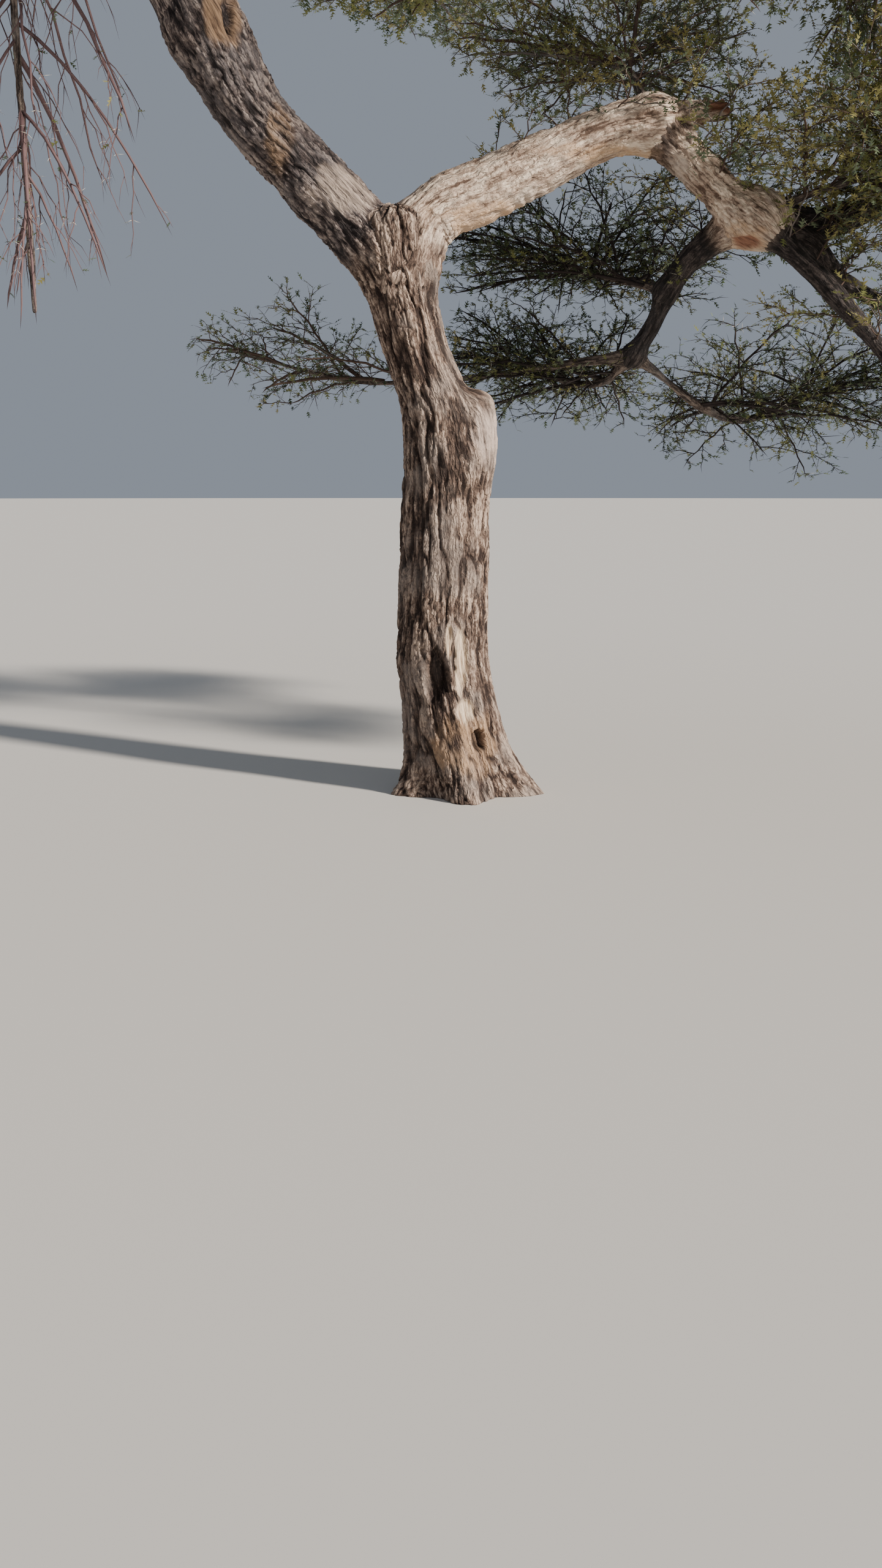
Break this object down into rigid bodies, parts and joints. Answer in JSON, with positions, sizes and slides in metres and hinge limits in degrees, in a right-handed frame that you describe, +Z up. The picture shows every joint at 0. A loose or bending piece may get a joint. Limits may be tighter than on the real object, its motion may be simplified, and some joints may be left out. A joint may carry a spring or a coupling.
{
  "type": "umbrella thorn acacia tree",
  "caption": "Whole umbrella thorn tree: leaning trunk with root flare forks into two great boughs, one arching over and down, under a flat open crown of fine foliage.",
  "frame": {"origin": "middle of the flat cut under the trunk, at ground level", "axes": "+Z up the tree, +X to the right as seen from the picture's side, +Y away from it"},
  "size_m": [9.4224, 9.2732, 6.9352],
  "materials": {
    "bark": "rough fissured bark",
    "young_bark": "dark rough bark",
    "foliage": "matt leaves",
    "thorns": "pale smooth thorn",
    "heartwood": "torn dry wood"
  },
  "bodies": {
    "root": {"arch_mass": "foliage", "back_mass": "foliage", "bend_mass": "foliage", "bough_left": "bark", "bough_right": "bark", "bough_right_outer": "bark", "centre_limb_1": "young_bark", "centre_limb_2": "young_bark", "centre_limb_3": "young_bark", "far_left_mass": "foliage", "hanging_left_mass": "foliage", "hanging_right_mass": "foliage", "inner_mass_1": "foliage", "inner_mass_2": "foliage", "inner_mass_3": "foliage", "inner_mass_4": "foliage", "inner_mass_5": "foliage", "inner_mass_6": "foliage", "limb_left": "young_bark", "limb_right_low": "young_bark", "limb_right_mid": "young_bark", "limb_right_up": "young_bark", "limb_top": "young_bark", "limb_under": "young_bark", "limb_under_low": "young_bark", "outer_mass_1": "foliage", "outer_mass_10": "foliage", "outer_mass_11": "foliage", "outer_mass_12": "foliage", "outer_mass_2": "foliage", "outer_mass_3": "foliage", "outer_mass_4": "foliage", "outer_mass_5": "foliage", "outer_mass_6": "foliage", "outer_mass_7": "foliage", "outer_mass_8": "foliage", "outer_mass_9": "foliage", "right_far_mass": "foliage", "right_high_mass": "foliage", "right_low_mass": "foliage", "right_mass": "foliage", "top_mass": "foliage", "trunk": "bark", "umbrella_limb_1": "young_bark", "umbrella_limb_2": "young_bark", "umbrella_limb_3": "young_bark", "umbrella_limb_4": "young_bark", "umbrella_limb_5": "young_bark", "umbrella_limb_6": "young_bark", "under_right_mass": "foliage"}
  },
  "joints": []
}
